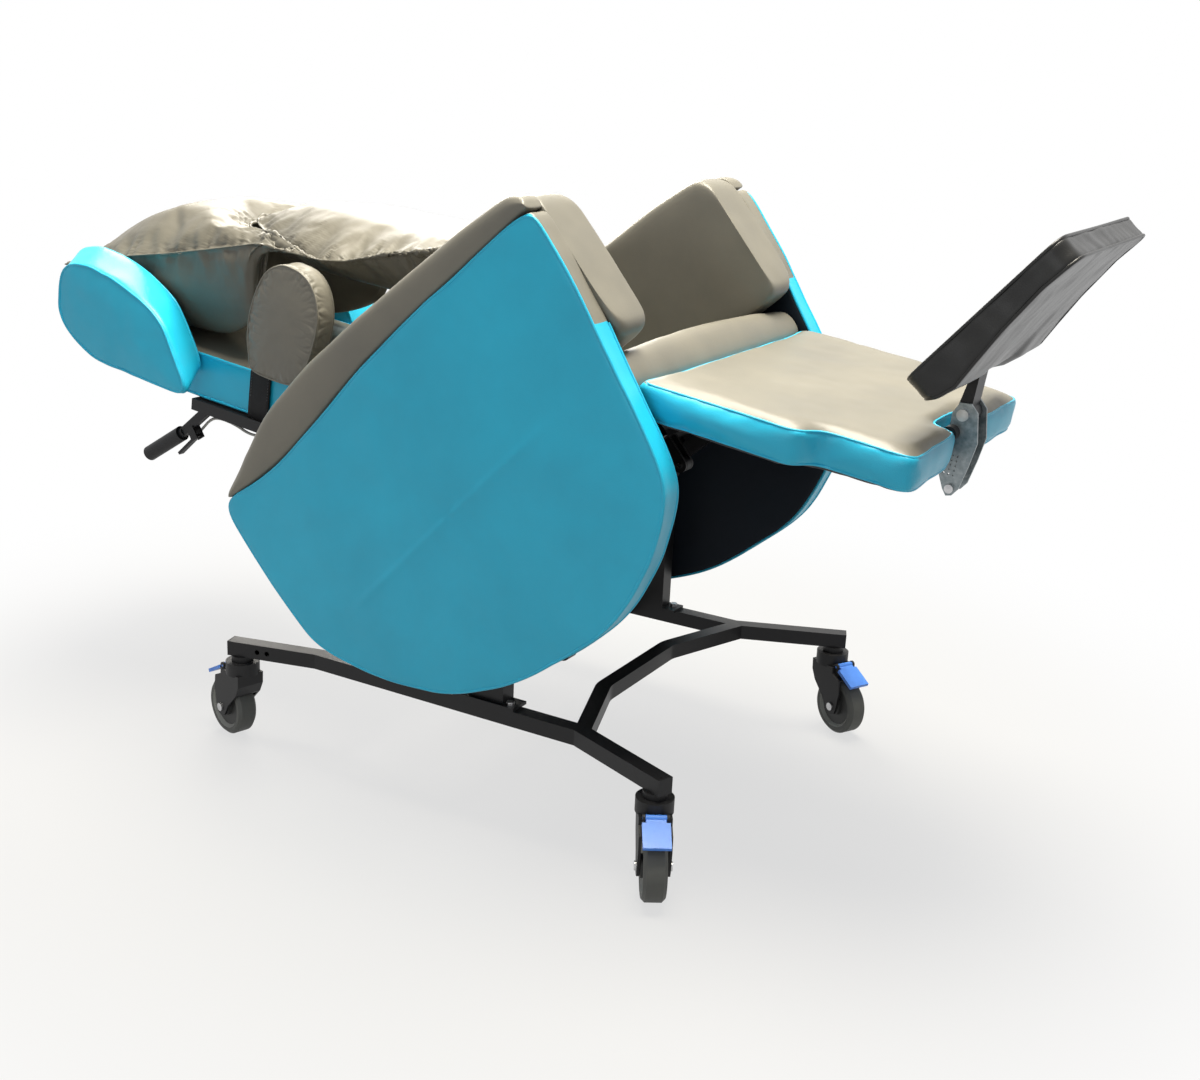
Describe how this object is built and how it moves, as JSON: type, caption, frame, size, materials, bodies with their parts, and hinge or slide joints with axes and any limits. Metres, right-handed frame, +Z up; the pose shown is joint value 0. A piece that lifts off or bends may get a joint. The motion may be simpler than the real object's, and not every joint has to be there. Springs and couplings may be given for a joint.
{
  "type": "tilt in space wheelchair",
  "caption": "Padded attendant-moved care chair on castors whose seat tilts, backrest reclines, legrest lifts and footplate folds.",
  "frame": {"origin": "on the floor, under the middle of the chair's length and width in the stored posture", "axes": "+Z up, -Y forwards to the occupant's feet, +X to the occupant's left"},
  "size_m": [0.7872, 1.759, 0.9519],
  "materials": {
    "teal_vinyl": "satin vinyl",
    "taupe_vinyl": "satin stretch vinyl",
    "black_coat": "satin powder coat",
    "steel": "plain",
    "zinc_plate": "zinc plated",
    "tyre": "matte",
    "pedal_blue": "matte",
    "black_plastic": "matte",
    "black_vinyl": "gloss vinyl",
    "strap_web": "woven",
    "cable_sheath": "satin"
  },
  "bodies": {
    "base": {"base_frame": "black_coat", "right_upright": "black_coat", "left_upright": "black_coat", "frame_bolts": "steel", "tube_end_caps": "black_plastic", "castor_stems": "steel", "base_pin": "steel"},
    "tilt_strut": {"tilt_strut_tube": "black_coat"},
    "tilt_rod": {"tilt_strut_rod": "steel"},
    "back_strut": {"back_strut_tube": "black_coat"},
    "back_rod": {"back_strut_rod": "steel"},
    "seat": {"seat_frame": "black_coat", "seat_pins": "steel", "seat_pan": "black_coat", "seat_cushion": "taupe_vinyl", "right_side_panel": "teal_vinyl", "left_side_panel": "teal_vinyl", "right_arm_cap": "taupe_vinyl", "left_arm_cap": "taupe_vinyl", "right_arm_pad": "taupe_vinyl", "left_arm_pad": "taupe_vinyl"},
    "backrest": {"back_frame": "black_coat", "back_pins": "steel", "backrest_pad": "taupe_vinyl", "back_strap": "strap_web", "right_lateral_pad": "taupe_vinyl", "left_lateral_pad": "taupe_vinyl", "right_head_wing": "teal_vinyl", "left_head_wing": "teal_vinyl", "head_pillow": "taupe_vinyl", "back_pillow": "taupe_vinyl", "right_push_handle": "black_plastic", "left_push_handle": "black_plastic", "release_cable": "cable_sheath"},
    "right_lever": {"right_trigger": "black_plastic"},
    "left_lever": {"left_trigger": "black_plastic"},
    "legrest": {"legrest_frame": "black_coat", "legrest_pad": "taupe_vinyl", "footplate_bracket": "zinc_plate", "bracket_bolts": "steel"},
    "knob": {"angle_knob": "black_plastic"},
    "foot": {"footplate_hinge": "black_coat", "footplate": "black_vinyl"},
    "front_right_castor": {"front_right_fork": "black_plastic", "front_right_axle": "steel"},
    "front_right_roller": {"front_right_wheel": "tyre"},
    "front_right_lock": {"front_right_pedal": "pedal_blue"},
    "front_left_castor": {"front_left_fork": "black_plastic", "front_left_axle": "steel"},
    "front_left_roller": {"front_left_wheel": "tyre"},
    "front_left_lock": {"front_left_pedal": "pedal_blue"},
    "rear_right_castor": {"rear_right_fork": "black_plastic", "rear_right_axle": "steel"},
    "rear_right_roller": {"rear_right_wheel": "tyre"},
    "rear_right_lock": {"rear_right_pedal": "pedal_blue"},
    "rear_left_castor": {"rear_left_fork": "black_plastic", "rear_left_axle": "steel"},
    "rear_left_roller": {"rear_left_wheel": "tyre"},
    "rear_left_lock": {"rear_left_pedal": "pedal_blue"}
  },
  "joints": [
    {"name": "seat_tilt", "type": "hinge", "parent": "base", "child": "seat", "pos_m": [0.02284, -0.09243, 0.43], "axis": [1, 0, 0], "range_deg": [0, 40]},
    {"name": "back_recline", "type": "hinge", "parent": "seat", "child": "backrest", "pos_m": [0.02284, 0.03754, 0.46976], "axis": [1, 0, 0], "range_deg": [0, 35]},
    {"name": "legrest_lift", "type": "hinge", "parent": "seat", "child": "legrest", "pos_m": [0.02284, -0.33578, 0.67205], "axis": [1, 0, 0], "range_deg": [0, 38]},
    {"name": "footplate_angle", "type": "hinge", "parent": "legrest", "child": "foot", "pos_m": [0.02284, -0.71152, 0.67983], "axis": [1, 0, 0], "range_deg": [-33, 27]},
    {"name": "knob_turn", "type": "hinge", "parent": "legrest", "child": "knob", "pos_m": [-0.01016, -0.69871, 0.65336], "axis": [1, 0, 0], "range_deg": [-180, 180]},
    {"name": "tilt_strut_turn", "type": "hinge", "parent": "base", "child": "tilt_strut", "pos_m": [-0.01216, -0.09243, 0.18], "axis": [1, 0, 0], "range_deg": [0, 0.4]},
    {"name": "tilt_strut_slide", "type": "slide", "parent": "tilt_strut", "child": "tilt_rod", "axis": [0, -0.3552, 0.9348], "range_m": [-0.06548, 0]},
    {"name": "back_strut_turn", "type": "hinge", "parent": "seat", "child": "back_strut", "pos_m": [0.05784, -0.25282, 0.51889], "axis": [1, 0, 0], "range_deg": [0, 0.719]},
    {"name": "back_strut_slide", "type": "slide", "parent": "back_strut", "child": "back_rod", "axis": [0, 0.8499, -0.5269], "range_m": [0, 0.0696]},
    {"name": "front_right_swivel", "type": "hinge", "parent": "base", "child": "front_right_castor", "pos_m": [-0.31542, -0.42474, 0.13], "axis": [0, 0, 1], "continuous": true},
    {"name": "front_right_roll", "type": "hinge", "parent": "front_right_castor", "child": "front_right_roller", "pos_m": [-0.34425, -0.44276, 0.05], "axis": [0.5299, -0.848, 0], "continuous": true},
    {"name": "front_right_brake", "type": "hinge", "parent": "front_right_castor", "child": "front_right_lock", "pos_m": [-0.34425, -0.44276, 0.124], "axis": [-0.5299, 0.848, 0], "range_deg": [0, 15]},
    {"name": "front_left_swivel", "type": "hinge", "parent": "base", "child": "front_left_castor", "pos_m": [0.3611, -0.42474, 0.13], "axis": [0, 0, 1], "continuous": true},
    {"name": "front_left_roll", "type": "hinge", "parent": "front_left_castor", "child": "front_left_roller", "pos_m": [0.34462, -0.45448, 0.05], "axis": [0.8746, -0.4848, 0], "continuous": true},
    {"name": "front_left_brake", "type": "hinge", "parent": "front_left_castor", "child": "front_left_lock", "pos_m": [0.34462, -0.45448, 0.124], "axis": [-0.8746, 0.4848, 0], "range_deg": [0, 15]},
    {"name": "rear_right_swivel", "type": "hinge", "parent": "base", "child": "rear_right_castor", "pos_m": [-0.2828, 0.37911, 0.13], "axis": [0, 0, 1], "continuous": true},
    {"name": "rear_right_roll", "type": "hinge", "parent": "rear_right_castor", "child": "rear_right_roller", "pos_m": [-0.27342, 0.41179, 0.05], "axis": [-0.9613, 0.2756, 0], "continuous": true},
    {"name": "rear_right_brake", "type": "hinge", "parent": "rear_right_castor", "child": "rear_right_lock", "pos_m": [-0.27342, 0.41179, 0.124], "axis": [0.9613, -0.2756, 0], "range_deg": [0, 15]},
    {"name": "rear_left_swivel", "type": "hinge", "parent": "base", "child": "rear_left_castor", "pos_m": [0.32847, 0.37911, 0.13], "axis": [0, 0, 1], "continuous": true},
    {"name": "rear_left_roll", "type": "hinge", "parent": "rear_left_castor", "child": "rear_left_roller", "pos_m": [0.34941, 0.4059, 0.05], "axis": [-0.788, 0.6157, 0], "continuous": true},
    {"name": "rear_left_brake", "type": "hinge", "parent": "rear_left_castor", "child": "rear_left_lock", "pos_m": [0.34941, 0.4059, 0.124], "axis": [0.788, -0.6157, 0], "range_deg": [0, 15]},
    {"name": "right_release", "type": "hinge", "parent": "backrest", "child": "right_lever", "pos_m": [-0.16056, 0.58958, 0.46997], "axis": [1, 0, 0], "range_deg": [0, 10], "stiffness_Nm_per_rad": 1.2, "springref_deg": -6.88},
    {"name": "left_release", "type": "hinge", "parent": "backrest", "child": "left_lever", "pos_m": [0.20624, 0.58958, 0.46997], "axis": [1, 0, 0], "range_deg": [0, 10], "stiffness_Nm_per_rad": 1.2, "springref_deg": -6.88}
  ],
  "couplings": [
    {"joint": "tilt_strut_turn", "follows": "seat_tilt", "ratio": 0.006474},
    {"joint": "tilt_strut_slide", "follows": "seat_tilt", "m_per_rad": -0.09307},
    {"joint": "back_strut_turn", "follows": "back_recline", "ratio": 0.017675},
    {"joint": "back_strut_slide", "follows": "back_recline", "m_per_rad": 0.11311}
  ]
}
